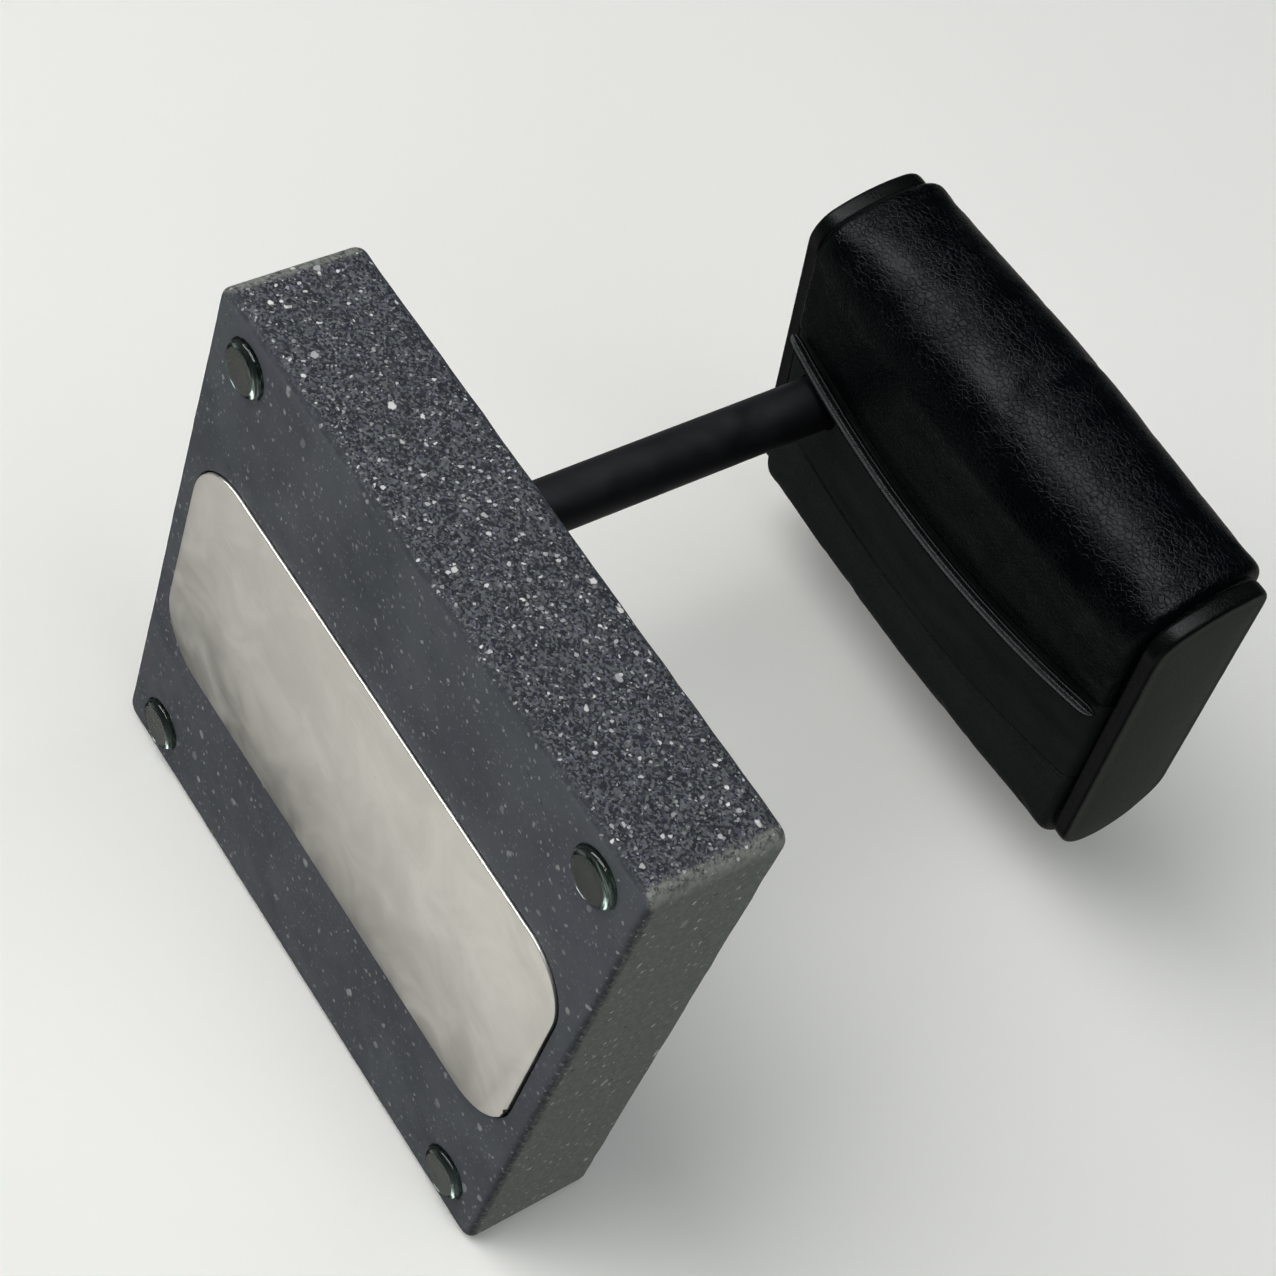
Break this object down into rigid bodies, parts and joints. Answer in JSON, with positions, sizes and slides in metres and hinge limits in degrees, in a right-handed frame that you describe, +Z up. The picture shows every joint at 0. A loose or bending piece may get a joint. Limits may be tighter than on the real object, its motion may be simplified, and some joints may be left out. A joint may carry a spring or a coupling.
{
  "type": "watch display stand",
  "caption": "Watch display stand: square speckled stone slab on clear feet, an off-centre black post and a tilted black leather cushion with end panels.",
  "frame": {"origin": "middle of the slab's square footprint, on the plane of the feet's flat bottoms", "axes": "+Z up along the post; +X along the cushion, from the post towards its free end; +Y to the back, where the cushion's tilted top is highest"},
  "size_m": [0.094, 0.094, 0.1285],
  "materials": {
    "granite": "honed, speckled with pale chips",
    "satin_steel": "satin",
    "clear_rubber": "clear, glossy",
    "black_coated_steel": "matte",
    "black_leather": "soft grain, half gloss",
    "smooth_leather": "smooth, matte",
    "zinc_steel": "zinc plated",
    "fibre": "vulcanised fibre",
    "brass": "machined",
    "foam": "open foam",
    "beech": "planed",
    "fibreboard": "pressed",
    "adhesive_film": "clear film"
  },
  "bodies": {
    "root": {"granite_base": "granite", "underside_plate": "satin_steel", "plate_adhesive": "adhesive_film", "foot_front_left": "clear_rubber", "foot_front_right": "clear_rubber", "foot_back_left": "clear_rubber", "foot_back_right": "clear_rubber", "post": "black_coated_steel", "base_screw": "zinc_steel", "spring_washer": "zinc_steel", "flat_washer": "zinc_steel", "fibre_washer": "fibre", "head_stud": "zinc_steel", "threaded_insert": "brass", "head_core": "beech", "head_foam": "foam", "drum_leather": "black_leather", "underside_strip": "smooth_leather", "flap_piping": "black_leather", "end_cover_left": "smooth_leather", "end_cover_right": "smooth_leather", "end_board_left": "fibreboard", "end_board_right": "fibreboard", "end_pad_left": "foam", "end_pad_right": "foam", "end_adhesive_left": "adhesive_film", "end_adhesive_right": "adhesive_film"}
  },
  "joints": []
}
